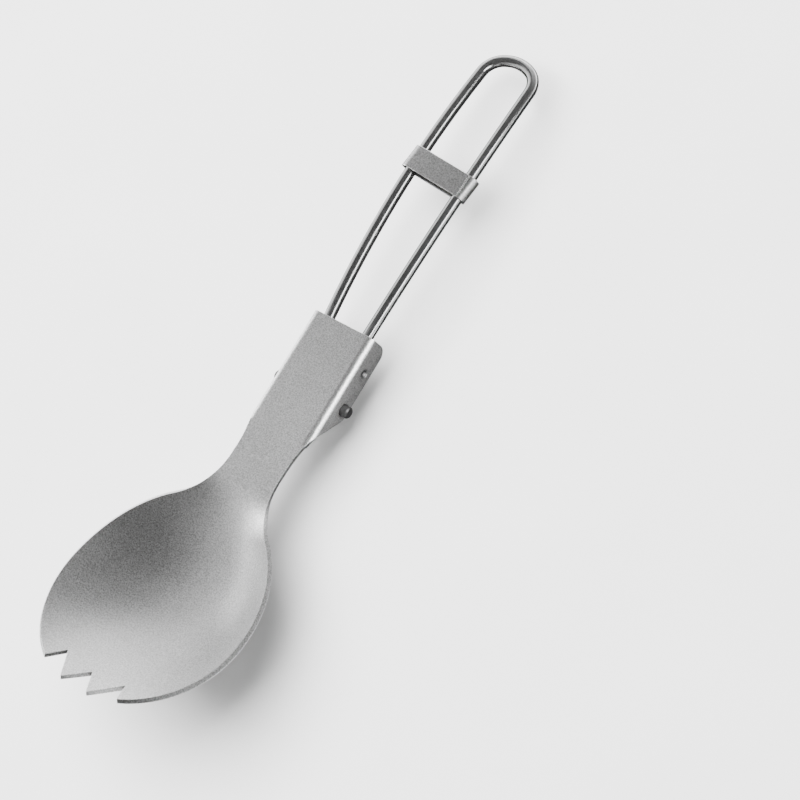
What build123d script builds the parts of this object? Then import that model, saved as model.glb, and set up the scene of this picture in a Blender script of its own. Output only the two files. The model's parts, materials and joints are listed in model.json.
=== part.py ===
from build123d import *
import os
from math import acos, atan2, cos, degrees, radians, sin, sqrt, tan

# Folding titanium spork: a pressed head, a wire handle that folds under the bowl, and a ring that
# slides on the handle. Millimetres. It is drawn with the web of the head level, the hinge axis along
# X at y = 0, the handle towards +Y and the bowl towards -Y. The finished pieces are moved as one, so
# that they lie on z = 0 with the origin below the middle of the spork's length.

# Stock
SHEET = 1.0  # titanium sheet of the head
WIRE = 2.5  # diameter of the handle wire
STRIP = 0.5  # thickness of the ring's strip

# Outline of the head, seen from above; the top of the web is z = 0
WIDEST_Y = -53.5  # where the bowl is widest
BOWL_HALF = 22.0  # half its width there
BOWL_FRONT = 21.8  # from there to the front of the bowl, half an ellipse
BOWL_REAR = 26.1  # from there to the rear of the bowl's ellipse
SHOULDER_ANGLE = 55.0  # on the rear ellipse, where the outline turns into the hollow of the neck
NECK_HALF = 6.55
FLARE_Y = -17.0  # the neck starts to widen into the web
FLARE_END = (9.4, -4.7)  # outside the flanges, where the flare has passed the bend
WEB_REAR_Y = 15.2

# Tines: four points on the bowl's ellipse, with V notches between them
OUTER_TIP_X = 9.8
INNER_TIP_X = 3.5
OUTER_ROOT = (7.9, -70.0)
MIDDLE_ROOT = (0.0, -71.1)
TINE_ROUND = 0.25

# Shape of the sheet ahead of the web
RISE_Y = -12.5  # the rim starts to rise towards the tines
JOIN_Y = -10.8  # the bowl's sheet is cut square here, where it meets the web
RISE_RADIUS = 131.0
DISH_DEPTH = 10.4  # rim to bottom, at the deepest place
DISH_Y = -49.0
DISH_FRONT = 27.5
DISH_REAR = 26.0
DISH_POWER = 1.6  # how gently the dish runs out at its two ends
SECTION_POWER = 2.2  # 2 is a parabola across the bowl, more is flatter in the middle
LEAST_SECTION = 6.0  # half-width of the section where the bowl comes to its point

# Flanges of the web
CHANNEL_HALF = 7.9  # web plane to the outer face of the flange
BEND_OUTSIDE = 1.5  # outer radius of the bend
SPLAY = 5.0  # degrees that a flange leans outwards
FLANGE_DEPTH = 6.0
FLANGE_FRONT = ((-7.8, -1.3), (-1.75, -6.0))  # its slanted front edge, as (y, z)
FLANGE_ROUND = 2.4
HINGE_DROP = 4.3  # hinge axis below the top of the web
HOLE_CLEARANCE = 0.07  # radial
HOLE_LIP = 0.12  # chamfer round the hole, outside
DIMPLE = (8.5, -3.8)  # place of the pressed bump on each flange, as (y, z)
DIMPLE_RADIUS = 1.0
DIMPLE_DEPTH = 0.55

# Handle wire
PIN_STAND = 1.6  # how far the end stands out of the flange
PIN_BEND = 2.5  # radius at the wire's centre where it turns outwards
PIN_CHAMFER = 0.3
LEG_X = 3.87  # the legs, extended to the hinge axis, meet it here
LEG_SPREAD = 0.0915  # slope of the legs there, outwards
LEG_RISE = 0.149  # and upwards
LEG_PLAN_RADIUS = 604.0  # the legs bow outwards
LEG_ARCH_RADIUS = 234.0  # and arch upwards
LOOP_CORNER_Y = 75.6
LOOP_CORNER_RADIUS = 4.9
LOOP_CORNER_TURN = 60.0

# Ring
RING_ALONG = 49.8  # length of leg between the hinge bend and the middle of the ring
RING_LENGTH = 5.2  # width of the strip
RING_SKEW = -5.0  # degrees that the loose ring sits askew on the legs
RING_FIT = 0.05  # clearance round the wires at their widest
SEAM_X = 7.1  # where the two ends of the strip meet, on top; the seam runs along the legs
SEAM_GAP = 0.2

# Where the drawing's origin stands when the spork lies on a flat surface: the bottom of the bowl and
# the end of the loop both touch it, and the new origin is on it, below the middle of the length
ORIGIN_Y = -3.52
ORIGIN_Z = 6.946

# Points that the sheet's curved surface is fitted through
GRID_Y = 1.3
GRID_X = 1.2
GRID_MARGIN = 0.5  # how far they reach past the outline
TALL = 60.0  # taller than the object, for cutting tools

TITANIUM = Color(0.62, 0.62, 0.61)


def shoulder():
    """Return the shoulder point, and the centre and radius of the hollow curve into the neck."""
    angle = radians(SHOULDER_ANGLE)
    point = Vector(BOWL_HALF * cos(angle), WIDEST_Y + BOWL_REAR * sin(angle))
    outward = Vector(cos(angle) / BOWL_HALF, sin(angle) / BOWL_REAR).normalized()
    radius = (point.X - NECK_HALF) / (1 - outward.X)
    return point, point + outward * radius, radius


def half_width(y):
    """Half the width of the bowl and neck at y."""
    point, centre, radius = shoulder()
    if y < point.Y:
        reach = BOWL_FRONT if y < WIDEST_Y else BOWL_REAR
        return BOWL_HALF * sqrt(max(0.0, 1 - ((y - WIDEST_Y) / reach) ** 2))
    if y < centre.Y:
        return centre.X - sqrt(radius**2 - (y - centre.Y) ** 2)
    return NECK_HALF


def tip_y(x):
    """Where the front ellipse of the bowl is at x."""
    return WIDEST_Y - BOWL_FRONT * sqrt(1 - (x / BOWL_HALF) ** 2)


def sheet_height(x, y):
    """Top of the sheet ahead of the web: the rising rim, less the dish of the bowl."""
    if y >= RISE_Y:
        return 0.0
    rim = RISE_RADIUS - sqrt(RISE_RADIUS**2 - (y - RISE_Y) ** 2)
    along = (y - DISH_Y) / (DISH_FRONT if y < DISH_Y else DISH_REAR)
    depth = DISH_DEPTH * max(0.0, 1 - along**2) ** DISH_POWER
    across = abs(x) / max(half_width(y), LEAST_SECTION)
    return rim - depth * (1 - across**SECTION_POWER)


def head_outline():
    """The right-hand half of the head's outline from above, and its mirror image."""
    point, centre, radius = shoulder()
    outer_tip = (OUTER_TIP_X, tip_y(OUTER_TIP_X))
    inner_tip = (INNER_TIP_X, tip_y(INNER_TIP_X))
    tip_angle = degrees(acos(OUTER_TIP_X / BOWL_HALF))
    middle = (0, WIDEST_Y)
    front = EllipticalCenterArc(middle, BOWL_HALF, BOWL_FRONT, -tip_angle, arc_size=tip_angle)
    rear = EllipticalCenterArc(middle, BOWL_HALF, BOWL_REAR, 0, arc_size=SHOULDER_ANGLE)
    turn = atan2(point.Y - centre.Y, point.X - centre.X) / 2 - radians(90)
    halfway = centre + Vector(cos(turn), sin(turn)) * radius
    hollow = ThreePointArc(point, halfway, (NECK_HALF, centre.Y))
    neck = Line((NECK_HALF, centre.Y), (NECK_HALF, FLARE_Y))
    flare = TangentArc((NECK_HALF, FLARE_Y), FLARE_END, tangent=(0, 1))
    tines = Polyline(MIDDLE_ROOT, inner_tip, OUTER_ROOT, outer_tip)
    web = Polyline(FLARE_END, (FLARE_END[0], WEB_REAR_Y), (0, WEB_REAR_Y), MIDDLE_ROOT)
    half = make_face([tines, front, rear, hollow, neck, flare, web])
    tips = half.vertices().filter_by_position(Axis.Y, outer_tip[1] - 3, outer_tip[1] + 0.01)
    tips = tips.filter_by_position(Axis.X, INNER_TIP_X - 0.1, OUTER_TIP_X + 0.1)
    half = fillet(tips, TINE_ROUND)
    return half + mirror(half, Plane.YZ)


def bowl_sheet(outline):
    """The neck, bowl and tines: a curved sheet cut to the outline, square to its own surface."""
    rear_y = JOIN_Y + GRID_MARGIN
    front_y = WIDEST_Y - BOWL_FRONT - GRID_MARGIN
    rows = int((rear_y - front_y) / GRID_Y) + 1
    columns = int((BOWL_HALF + GRID_MARGIN) / GRID_X) + 1
    grid = []
    for row in range(rows + 1):
        y = rear_y - row * GRID_Y
        xs = [column * GRID_X for column in range(-columns, columns + 1)]
        grid.append([Vector(x, y, sheet_height(x, y)) for x in xs])
    surface = Face.make_surface_from_array_of_points(grid, tol=0.004)
    tool = extrude(Pos(0, 0, -TALL / 2) * outline, TALL)
    trimmed = surface.intersect(tool).faces().sort_by(SortBy.AREA)[-1]
    up = trimmed.normal_at(Vector(0, RISE_Y - 3, 0)).Z
    sheet = Solid.thicken(trimmed, -SHEET if up > 0 else SHEET)
    return sheet & Pos(0, JOIN_Y - TALL, 0) * Box(2 * TALL, 2 * TALL, 2 * TALL)


def channel_section(inset, depth):
    """Section of the channel, as a closed trapezium with rounded top corners, inset by a thickness."""
    lean = tan(radians(SPLAY))
    half = CHANNEL_HALF - inset / cos(radians(SPLAY))
    top = [(half + lean * inset, -inset), (-half - lean * inset, -inset)]
    foot = [(-half - lean * depth, -depth), (half + lean * depth, -depth)]
    section = Polygon(*top, *foot, align=None)
    corners = section.vertices().group_by(Axis.Y)[-1]
    return fillet(corners, BEND_OUTSIDE - inset)


def web_and_flanges(outline):
    """The web, with its two sides bent down, trimmed in plan and in side view."""
    length = WEB_REAR_Y - JOIN_Y
    face = channel_section(0, FLANGE_DEPTH) - channel_section(SHEET, FLANGE_DEPTH + 1)
    along = Plane(origin=(0, WEB_REAR_Y, 0), x_dir=(1, 0, 0), z_dir=(0, -1, 0))
    channel = extrude(along * face, length)
    plan = extrude(Pos(0, 0, -TALL / 2) * outline, TALL)
    front_top, front_foot = FLANGE_FRONT
    side = Polygon(
        (JOIN_Y, 1),
        (JOIN_Y, front_top[1]),
        front_top,
        front_foot,
        (WEB_REAR_Y, -FLANGE_DEPTH),
        (WEB_REAR_Y, 1),
        align=None,
    )
    low = side.vertices().filter_by_position(Axis.Y, -FLANGE_DEPTH - 0.1, -FLANGE_DEPTH + 0.1)
    side = fillet(low, FLANGE_ROUND)
    side_tool = extrude(Plane.YZ * side, TALL, both=True)
    return channel & plan & side_tool


def flange_face_x(z):
    """Outer face of the right-hand flange at height z."""
    return CHANNEL_HALF - tan(radians(SPLAY)) * z


def flange_features():
    """Tools for one flange: the hinge hole to cut, the dimple to cut outside and its bump inside."""
    face_x = flange_face_x(-HINGE_DROP)
    radius = WIRE / 2 + HOLE_CLEARANCE
    at_hinge = Plane(origin=(face_x, 0, -HINGE_DROP), z_dir=(1, 0, 0))
    hole = extrude(at_hinge * Circle(radius), 4, both=True)
    lip = at_hinge * Pos(0, 0, -HOLE_LIP / 2) * Cone(radius, radius + 2 * HOLE_LIP, 2 * HOLE_LIP)
    y, z = DIMPLE
    outer_x = flange_face_x(z)
    sink = outer_x - DIMPLE_DEPTH + DIMPLE_RADIUS
    dent = Pos(sink, y, z) * Sphere(DIMPLE_RADIUS)
    inner_x = outer_x - SHEET
    bump_radius = DIMPLE_RADIUS + SHEET / 2
    bump = Pos(inner_x - DIMPLE_DEPTH + bump_radius, y, z) * Sphere(bump_radius)
    keep = Pos(inner_x + 0.2 - 2, y, z) * Box(4, 8, 8)
    return hole + lip, dent, bump & keep


def make_head():
    """One pressing: bowl, tines, neck, web and flanges."""
    outline = head_outline()
    head = bowl_sheet(outline) + web_and_flanges(outline)
    cut, dent, bump = flange_features()
    for side in (cut, dent):
        head = head - side - mirror(side, Plane.YZ)
    return head + bump + mirror(bump, Plane.YZ)


def arc_on(start, heading, inward, radius, turn):
    """An arc from a point along a heading, turning towards inward; also its end and new heading."""
    middle = start + heading * (radius * sin(turn / 2)) + inward * (radius * (1 - cos(turn / 2)))
    end = start + heading * (radius * sin(turn)) + inward * (radius * (1 - cos(turn)))
    return ThreePointArc(start, middle, end), end, heading * cos(turn) + inward * sin(turn)


def square_to(direction, heading):
    """The part of a direction that is square to a heading, as a unit vector."""
    return (direction - heading * direction.dot(heading)).normalized()


def leg_path():
    """Centre line of the right-hand half of the wire, from its turned-out end to the loop's middle."""
    inward_x = Vector(-1, 0, 0)
    corner = Vector(LEG_X, 0, -HINGE_DROP)
    leg_heading = Vector(LEG_SPREAD, 1, LEG_RISE).normalized()
    bend_turn = acos(leg_heading.dot(inward_x))
    reach = PIN_BEND * tan(bend_turn / 2)
    pin_end = Vector(flange_face_x(-HINGE_DROP) + PIN_STAND, 0, -HINGE_DROP)
    bend_start = corner - inward_x * reach
    pin = Line(pin_end, bend_start)
    towards_leg = square_to(leg_heading, inward_x)
    bend, place, heading = arc_on(bend_start, inward_x, towards_leg, PIN_BEND, bend_turn)

    curvature = Vector(-1 / LEG_PLAN_RADIUS, 0, -1 / LEG_ARCH_RADIUS)
    inward = square_to(curvature, heading)
    radius = 1 / curvature.length
    turn = (LOOP_CORNER_Y - place.Y) / heading.Y / radius
    leg, place, heading = arc_on(place, heading, inward, radius, turn)

    inward = square_to(inward_x, heading)
    turn = radians(LOOP_CORNER_TURN)
    loop_corner, place, heading = arc_on(place, heading, inward, LOOP_CORNER_RADIUS, turn)

    inward = square_to(inward_x, heading)
    turn = acos(heading.dot(inward_x))
    crown_radius = place.X / sin(turn)
    crown, place, heading = arc_on(place, heading, inward, crown_radius, turn)
    return pin_end, [pin, bend, leg, loop_corner, crown]


def make_handle():
    """One wire: turned-out ends, two bowed legs and the loop."""
    pin_end, edges = leg_path()
    section = Plane(origin=pin_end, z_dir=(-1, 0, 0)) * Circle(WIRE / 2)
    half = sweep(section, path=Wire(edges))
    rim = half.edges().filter_by(GeomType.CIRCLE).sort_by(Axis.X)[-1]
    half = chamfer(rim, PIN_CHAMFER)
    return half + mirror(half, Plane.YZ)


def racetrack(half_width, half_height):
    """A slot-shaped face with round ends."""
    return SlotOverall(2 * half_width, 2 * half_height)


def make_ring():
    """One strip wrapped round both legs, its ends meeting in a seam on top."""
    leg = leg_path()[1][2]
    share = RING_ALONG / leg.length
    on_leg = leg @ share
    heading = leg % share
    inner_height = WIRE / 2 + RING_FIT
    slack = RING_LENGTH / 2 * tan(radians(abs(RING_SKEW)))
    inner_width = leg.bounding_box().max.X + inner_height + slack
    face = racetrack(inner_width + STRIP, inner_height + STRIP) - racetrack(inner_width, inner_height)
    seam = Pos(SEAM_X, inner_height + STRIP / 2) * Box(SEAM_GAP, 2 * STRIP, 2 * RING_LENGTH)
    middle = Vector(0, on_leg.Y, on_leg.Z)
    backward = -Vector(0, heading.Y, heading.Z).normalized()
    across = Plane(origin=middle, x_dir=(1, 0, 0), z_dir=backward)
    band = extrude(across * Rot(Y=RING_SKEW) * face, RING_LENGTH / 2, both=True)
    return band - across * seam


os.makedirs("parts", exist_ok=True)
pieces = {"spork_head": make_head(), "handle_wire": make_handle(), "slide_ring": make_ring()}
for name, piece in pieces.items():
    placed = Pos(0, ORIGIN_Y, ORIGIN_Z) * piece
    placed.label = name
    placed.color = TITANIUM
    export_step(placed, f"parts/{name}.step")
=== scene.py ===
import bpy
import json
import math
from itertools import product
from mathutils import Matrix, Vector


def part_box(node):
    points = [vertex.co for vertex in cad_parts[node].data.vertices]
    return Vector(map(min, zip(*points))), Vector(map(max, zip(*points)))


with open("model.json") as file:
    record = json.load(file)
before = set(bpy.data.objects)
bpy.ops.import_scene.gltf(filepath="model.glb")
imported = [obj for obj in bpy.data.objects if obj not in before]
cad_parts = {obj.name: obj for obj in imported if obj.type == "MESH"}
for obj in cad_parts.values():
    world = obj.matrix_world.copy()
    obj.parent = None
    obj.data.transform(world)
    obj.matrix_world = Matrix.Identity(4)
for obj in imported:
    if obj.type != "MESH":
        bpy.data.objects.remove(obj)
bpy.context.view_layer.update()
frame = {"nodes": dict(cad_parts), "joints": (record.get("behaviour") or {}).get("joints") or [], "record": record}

# The camera's axes in the object's frame, one row each: right, up, and back towards the viewer
VIEW_AXES = Matrix((
    (0.76623, 0.51752, -0.38087),
    (-0.40647, 0.84944, 0.33649),
    (0.49767, -0.10302, 0.86122),
))
CAMERA_PLACE = Vector((0.01945, -0.00269, 0.6))  # along those axes, from the middle of the hinge, in m
FIELD_OF_VIEW = 15.46  # degrees

# Places in m, tones as a share of the rest of the piece
DIMPLE = Vector((0.0, 0.0085, 0.0005))  # pressed dimples of the flanges, from the hinge axis
DIMPLE_CORE = 0.0007  # painted shade is darkest within this radius
DIMPLE_RIM = 0.0012  # no painted shade outside this radius
# painted shade in the dimples, as a share of the tone
DIMPLE_PAINTED_SHADE = 0.16
# painted shade: the flanges' sideways faces are this much darker than the rest
FLANGE_PAINTED_SHADE = 0.70
PIN_INSIDE = 0.0070  # painted shade on the wire's turned-out ends fades in between these distances from the middle
PIN_OUTSIDE = 0.0074
PIN_REACH = 0.003  # and only up to here along the handle, from the hinge axis
# painted shade on the turned-out ends, as a share of the tone
PIN_PAINTED_SHADE = 0.35


def camera(hinge):
    """The photograph's view: from above, over the object's right-hand side."""
    data = bpy.data.cameras.new("view")
    data.sensor_fit = "HORIZONTAL"
    data.angle = math.radians(FIELD_OF_VIEW)
    data.clip_start = 0.01
    obj = bpy.data.objects.new("view", data)
    turn = VIEW_AXES.transposed()
    obj.matrix_world = Matrix.Translation(hinge + turn @ CAMERA_PLACE) @ turn.to_4x4()
    bpy.context.scene.collection.objects.link(obj)
    bpy.context.scene.camera = obj


joints = {joint["name"]: joint for joint in frame["joints"]}
web_top = next(m for m in frame["record"]["mounts"] if m["name"] == "web_top")["pos_m"][2]
fold_axis = Vector(joints["handle_fold"]["pos_m"])
camera(Vector((0, fold_axis.y, web_top)))


# ---- materials ----

class Nodes:
    """A short way to write a material's nodes."""

    def __init__(self, name):
        self.material = bpy.data.materials.new(name)
        self.material.use_nodes = True
        self.tree = self.material.node_tree
        self.tree.nodes.clear()

    def add(self, kind, settings=None, **inputs):
        """A node with its inputs set or linked: by name, or by number, as i0, i1 and so on."""
        node = self.tree.nodes.new(kind)
        for key, value in (settings or {}).items():
            setattr(node, key, value)
        for key, value in inputs.items():
            by_number = key[0] == "i" and key[1:].isdigit()
            socket = node.inputs[int(key[1:]) if by_number else key.replace("_", " ")]
            if isinstance(value, bpy.types.NodeSocket):
                self.tree.links.new(value, socket)
            else:
                socket.default_value = value
        return node

    def noise(self, place, scale, detail=2.0, roughness=0.5):
        node = self.add("ShaderNodeTexNoise", Vector=place, Scale=scale, Detail=detail, Roughness=roughness)
        return node.outputs[0]

    def spread(self, value, low, high, to_low, to_high):
        """Map low..high to to_low..to_high, held at the ends."""
        node = self.add("ShaderNodeMapRange", Value=value, i1=low, i2=high, i3=to_low, i4=to_high)
        return node.outputs[0]

    def math(self, kind, a, b=0.0):
        return self.add("ShaderNodeMath", {"operation": kind}, i0=a, i1=b).outputs[0]

    def stretch(self, place, x, y, z):
        return self.add("ShaderNodeVectorMath", {"operation": "MULTIPLY"}, i0=place, i1=(x, y, z)).outputs[0]

    def mix(self, a, b, share_a, share_b):
        return self.math("ADD", self.math("MULTIPLY", a, share_a), self.math("MULTIPLY", b, share_b))

    def grey(self, value):
        return self.add("ShaderNodeCombineColor", Red=value, Green=value, Blue=value).outputs[0]

    def edges(self, width):
        """1 on the sharp edges, 0 on the faces, from how far a rounded edge's normal leans."""
        flat = self.add("ShaderNodeNewGeometry").outputs["Normal"]
        operation = {"operation": "DOT_PRODUCT"}
        alike = self.add("ShaderNodeVectorMath", operation, i0=self.rounded(width), i1=flat).outputs["Value"]
        return self.spread(alike, 0.995, 0.90, 0.0, 1.0)

    def rounded(self, radius):
        """The normal that the surface would have if its edges had that radius."""
        return self.add("ShaderNodeBevel", {"samples": 8}, Radius=radius).outputs[0]

    def off_axis(self, place, point):
        """Distance from the line through a point along X."""
        away = self.add("ShaderNodeVectorMath", {"operation": "SUBTRACT"}, i0=place, i1=point).outputs[0]
        flat = self.stretch(away, 0.0, 1.0, 1.0)
        return self.add("ShaderNodeVectorMath", {"operation": "LENGTH"}, i0=flat).outputs["Value"]

    def bowl_side(self, place, y):
        """1 nearer the bowl than y, 0 past it."""
        along = self.add("ShaderNodeSeparateXYZ", i0=place).outputs["Y"]
        return self.math("LESS_THAN", along, y)

    def bump(self, height, distance, strength=1.0, normal=None):
        node = self.add("ShaderNodeBump", Height=height, Distance=distance, Strength=strength)
        if normal is not None:
            self.tree.links.new(normal, node.inputs["Normal"])
        return node.outputs[0]

    def metal(self, colour, roughness, normal):
        return self.surface(Base_Color=colour, Metallic=1.0, Roughness=roughness, Normal=normal)

    def surface(self, **inputs):
        shader = self.add("ShaderNodeBsdfPrincipled", **inputs)
        self.add("ShaderNodeOutputMaterial", Surface=shader.outputs[0])
        return self.material


def place(nodes):
    return nodes.add("ShaderNodeTexCoord").outputs["Object"]


def blasted_sheet():
    """Bead-blasted titanium: fine pits, faint clouds and handling marks; edges brighter, partly from wear and
    partly a painted highlight; painted shade on the flanges and in the dimples.
    """
    n = Nodes("blasted_sheet")
    where = place(n)
    pits = n.noise(where, 4200, 2.0, 0.6)
    grain = n.noise(where, 3200, 2.0, 0.6)
    clouds = n.noise(where, 90, 3.0, 0.55)
    scuffs = n.noise(n.stretch(where, 1.0, 0.16, 1.0), 2400, 3.0, 0.6)
    rubbed = n.spread(scuffs, 0.58, 0.75, 0.0, 1.0)
    edge = n.edges(0.00022)
    tone = n.spread(n.mix(pits, grain, 0.5, 0.5), 0.40, 0.60, 0.41, 0.75)
    tone = n.math("MULTIPLY", tone, n.spread(clouds, 0.3, 0.7, 0.95, 1.05))
    # Edges brighter: partly wear, partly a painted highlight along the rims
    tone = n.math("ADD", tone, n.math("MULTIPLY", edge, 0.22))
    # Painted shade: faces turned sideways, the flanges, are made darker
    facing = n.add("ShaderNodeNewGeometry").outputs["Normal"]
    sideways = n.add("ShaderNodeSeparateXYZ", i0=facing).outputs["X"]
    tone = n.math("MULTIPLY", tone, n.spread(n.math("ABSOLUTE", sideways), 0.90, 0.985, 1.0, FLANGE_PAINTED_SHADE))
    # Painted shade in the dimples, darkest at their middle
    from_dimple = n.off_axis(where, fold_axis + DIMPLE)
    tone = n.math("MULTIPLY", tone, n.spread(from_dimple, DIMPLE_CORE, DIMPLE_RIM, DIMPLE_PAINTED_SHADE, 1.0))
    rough = n.spread(grain, 0.3, 0.7, 0.36, 0.46)
    rough = n.math("ADD", rough, n.spread(clouds, 0.3, 0.7, -0.02, 0.03))
    rough = n.math("SUBTRACT", rough, n.math("MULTIPLY", rubbed, 0.05))
    rough = n.math("SUBTRACT", rough, n.math("MULTIPLY", edge, 0.12))
    normal = n.bump(n.mix(pits, grain, 0.6, 0.8), 0.00005, 0.75, n.rounded(0.00012))
    return n.metal(n.grey(tone), rough, normal)


def drawn_wire():
    """Polished wire: fine lines along it from drawing, a few nicks, and painted shade on the turned-out ends."""
    n = Nodes("drawn_wire")
    where = place(n)
    lines = n.noise(n.stretch(where, 1.0, 0.02, 1.0), 6000, 2.0, 0.6)
    smears = n.noise(n.stretch(where, 1.0, 0.25, 1.0), 500, 3.0, 0.6)
    cells = n.add("ShaderNodeTexVoronoi", {"feature": "F1"}, Vector=where, Scale=170.0, Randomness=1.0)
    nicks = n.spread(cells.outputs["Distance"], 0.05, 0.13, 1.0, 0.0)
    tone = n.spread(lines, 0.3, 0.7, 0.40, 0.52)
    tone = n.math("MULTIPLY", tone, n.spread(smears, 0.3, 0.7, 0.95, 1.04))
    outward = n.math("ABSOLUTE", n.add("ShaderNodeSeparateXYZ", i0=where).outputs["X"])
    past_flange = n.spread(outward, PIN_INSIDE, PIN_OUTSIDE, 0.0, 1.0)
    hinge_end = n.math("MULTIPLY", past_flange, n.bowl_side(where, fold_axis.y + PIN_REACH))
    # Painted shade on the turned-out ends at the hinge
    tone = n.math("MULTIPLY", tone, n.spread(hinge_end, 0.0, 1.0, 1.0, PIN_PAINTED_SHADE))
    rough = n.math("ADD", n.spread(smears, 0.3, 0.7, 0.13, 0.22), n.math("MULTIPLY", hinge_end, 0.25))
    rough = n.math("ADD", rough, n.math("MULTIPLY", nicks, 0.2))
    height = n.math("SUBTRACT", n.math("MULTIPLY", lines, 0.25), n.math("MULTIPLY", nicks, 1.2))
    normal = n.bump(height, 0.00003, 0.35)
    return n.metal(n.grey(tone), rough, normal)


def blasted_strip():
    """The ring's strip: blasted matt, with edges brighter, partly rubbed by the legs and fingers and partly a
    painted highlight.
    """
    n = Nodes("blasted_strip")
    where = place(n)
    pits = n.noise(where, 4600, 2.0, 0.6)
    grain = n.noise(where, 3000, 2.0, 0.6)
    edge = n.edges(0.00026)
    tone = n.spread(n.mix(pits, grain, 0.5, 0.5), 0.40, 0.60, 0.36, 0.70)
    # Edges brighter: partly wear, partly a painted highlight
    tone = n.math("ADD", tone, n.math("MULTIPLY", edge, 0.45))
    rough = n.spread(grain, 0.3, 0.7, 0.36, 0.44)
    rough = n.math("SUBTRACT", rough, n.math("MULTIPLY", edge, 0.15))
    normal = n.bump(n.math("ADD", pits, grain), 0.00002, 0.5, n.rounded(0.0002))
    return n.metal(n.grey(tone), rough, normal)


def paper(name, least, most):
    """Plain card, faintly mottled."""
    n = Nodes(name)
    where = place(n)
    tone = n.spread(n.noise(where, 30, 2.0, 0.5), 0.3, 0.7, least, most)
    normal = n.bump(n.noise(where, 900, 2.0, 0.5), 0.00002, 0.3)
    return n.surface(Base_Color=n.grey(tone), Roughness=0.9, Normal=normal)


head = frame["nodes"]["spork_head"]
wire = frame["nodes"]["handle_wire"]
ring = frame["nodes"]["slide_ring"]
for piece, material in ((head, blasted_sheet()), (wire, drawn_wire()), (ring, blasted_strip())):
    for slot in piece.material_slots:
        slot.material = material


# ---- floor, light ----

def seen_by(obj, camera=False, metal=False, light=False):
    """Which rays meet the piece: the camera's, the metal's reflections, or the light's."""
    obj.visible_camera = camera
    obj.visible_glossy = metal
    obj.visible_diffuse = light
    obj.visible_shadow = light
    obj.visible_transmission = camera


def plane(name, corners, material):
    mesh = bpy.data.meshes.new(name)
    mesh.from_pydata(corners, [], [range(len(corners))])
    mesh.materials.append(material)
    obj = bpy.data.objects.new(name, mesh)
    bpy.context.scene.collection.objects.link(obj)
    return obj


def lowest_when_folded(node, joint):
    """Lowest height that a node's box reaches with the joint at its far limit."""
    axis = Vector(joint["axis"])
    pivot = Vector(joint["pos_m"])
    turn = Matrix.Rotation(math.radians(max(joint["range_deg"])), 3, axis)
    corners = product(*zip(*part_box(node)))
    return min((pivot + turn @ (Vector(corner) - pivot)).z for corner in corners)


def square(half, z):
    return [(-half, -half, z), (half, -half, z), (half, half, z), (-half, half, z)]


def soft_light(name, place, target, size, watts, mirrored=True, only=None, spread=180.0):
    """A rectangular soft light, for all pieces or only some. With mirrored off, no metal reflects it."""
    data = bpy.data.lights.new(name, "AREA")
    data.shape = "RECTANGLE"
    data.size, data.size_y = size
    data.energy = watts
    data.spread = math.radians(spread)
    obj = bpy.data.objects.new(name, data)
    obj.location = place
    obj.rotation_euler = (Vector(target) - Vector(place)).to_track_quat("-Z", "Y").to_euler()
    obj.visible_camera = False
    obj.visible_glossy = mirrored
    if only:
        lit = bpy.data.collections.new(name + "_lights")
        for piece in only:
            lit.objects.link(piece)
        obj.light_linking.receiver_collection = lit
    bpy.context.scene.collection.objects.link(obj)


def studio_walls():
    """The room round the table: dark on the right and overhead, and brighter away from there."""
    world = bpy.data.worlds.new("studio")
    world.use_nodes = True
    tree = world.node_tree
    background = tree.nodes["Background"]

    def step(kind, a, b=0.0):
        node = tree.nodes.new("ShaderNodeMath")
        node.operation = kind
        for socket, value in zip(node.inputs, (a, b)):
            if isinstance(value, bpy.types.NodeSocket):
                tree.links.new(value, socket)
            else:
                socket.default_value = value
        return node.outputs[0]

    direction = tree.nodes.new("ShaderNodeTexCoord").outputs["Generated"]
    facing = tree.nodes.new("ShaderNodeVectorMath")
    facing.operation = "DOT_PRODUCT"
    tree.links.new(direction, facing.inputs[0])
    facing.inputs[1].default_value = DARK_SIDE
    away = step("MULTIPLY", step("SUBTRACT", 1.0, facing.outputs["Value"]), 0.5)
    power = step("MULTIPLY", away, step("SUBTRACT", WALL_RISE, step("MULTIPLY", away, WALL_BEND)))
    tree.links.new(step("MULTIPLY", step("EXPONENT", power), WALL_LEAST), background.inputs["Strength"])
    background.inputs["Color"].default_value = (1.0, 1.0, 1.0, 1.0)
    bpy.context.scene.world = world


# The walls' brightness is WALL_LEAST towards DARK_SIDE and grows as a power of e away from it
DARK_SIDE = Vector((0.743, -0.058, 0.667))
WALL_LEAST = 0.15
WALL_RISE = 4.8
WALL_BEND = 1.5
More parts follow.
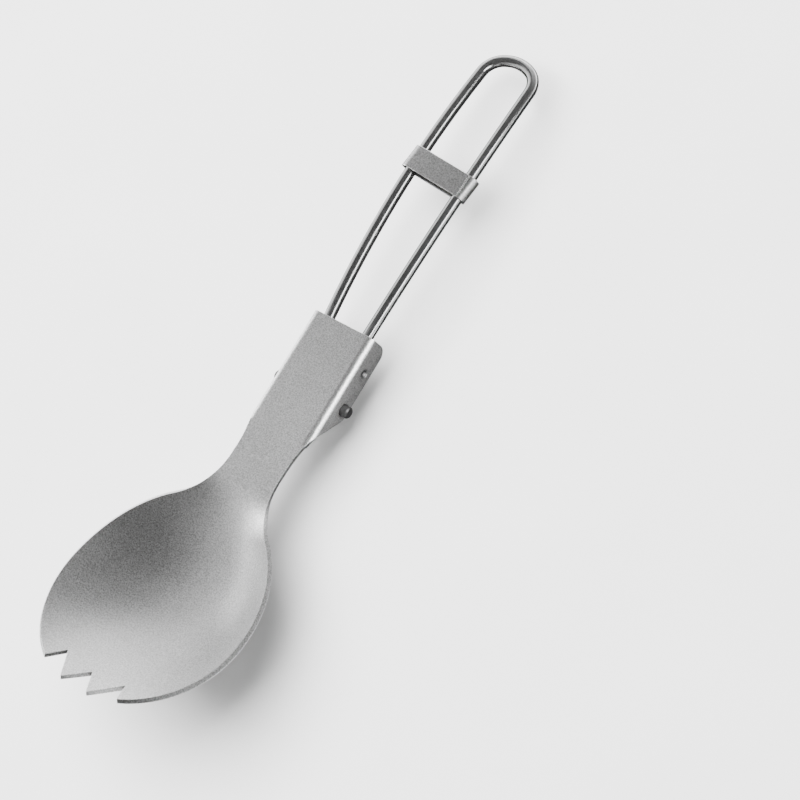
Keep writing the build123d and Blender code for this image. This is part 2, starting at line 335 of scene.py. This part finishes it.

# Dark cards seen only in the metal's reflections, as painted shade, in m: the handle's surroundings, below the
# tines, in front, above the handle
SHADE = [(-0.060, 0.095), (-0.060, 0.014), (0.0, 0.012), (0.0, -0.062), (0.040, -0.062),
         (0.040, -0.024), (0.028, -0.012), (0.028, 0.014), (0.060, 0.014), (0.060, 0.095)]
TINE_SHADE = [(-0.066, -0.072), (-0.066, -0.15), (0.060, -0.15), (0.060, -0.085), (0.012, -0.076)]
FRONT_X = (-0.07, 0.08)
FRONT_Y = -0.15
FRONT_TOP = 0.06
HIGH_X = (-0.045, 0.052)
HIGH_Y = (0.012, 0.12)
HIGH_ABOVE = 0.045  # above the top of the handle
FLOOR_HALF = 2.0
FLOOR_BELOW = 0.0001  # the floor lies this far below the cards on it

# The cards lie where the folded handle comes down to
shade_z = min(lowest_when_folded(node, joints["handle_fold"]) for node in ("handle_wire", "slide_ring"))
floor = plane("floor", square(FLOOR_HALF, shade_z - FLOOR_BELOW), paper("pale_paper", 0.84, 0.87))
seen_by(floor, camera=True, metal=True, light=True)

# Painted shade: dark cards that only the metal reflects
shade_card = paper("shade_card", 0.018, 0.024)
for name, outline in (("shade", SHADE), ("tine_shade", TINE_SHADE)):
    seen_by(plane(name, [(x, y, shade_z) for x, y in outline], shade_card), metal=True)
front_card = [(FRONT_X[0], FRONT_Y, shade_z), (FRONT_X[1], FRONT_Y, shade_z),
              (FRONT_X[1], FRONT_Y, FRONT_TOP), (FRONT_X[0], FRONT_Y, FRONT_TOP)]
seen_by(plane("front_card", front_card, shade_card), metal=True)
high_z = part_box("handle_wire")[1].z + HIGH_ABOVE
high_card = [(HIGH_X[0], HIGH_Y[0], high_z), (HIGH_X[1], HIGH_Y[0], high_z),
             (HIGH_X[1], HIGH_Y[1], high_z), (HIGH_X[0], HIGH_Y[1], high_z)]
seen_by(plane("dark_card", high_card, paper("black_card", 0.03, 0.04)), metal=True)

studio_walls()
soft_light("key", place=(-0.30, 0.1, 0.95), target=(0, 0, 0), size=(1.2, 1.2), watts=62.0, mirrored=False)
soft_light("left", place=(-0.55, -0.16, 0.11), target=(0, -0.04, 0.01), size=(0.5, 0.20), watts=2.6,
           only=[head, ring])
soft_light("back", place=(-0.30, 0.42, 0.06), target=(0, 0, 0.01), size=(0.40, 0.20), watts=0.4,
           only=[head, wire, ring])
soft_light("bend_light", place=(0.050, 0.008, 0.022), target=(0.008, 0.000, 0.005), size=(0.045, 0.030),
           watts=0.010, only=[head], spread=60.0)
soft_light("strip", place=(0.17, 0.060, 0.080), target=(0, 0.045, 0.01), size=(0.14, 0.06), watts=0.22,
           only=[wire, ring])
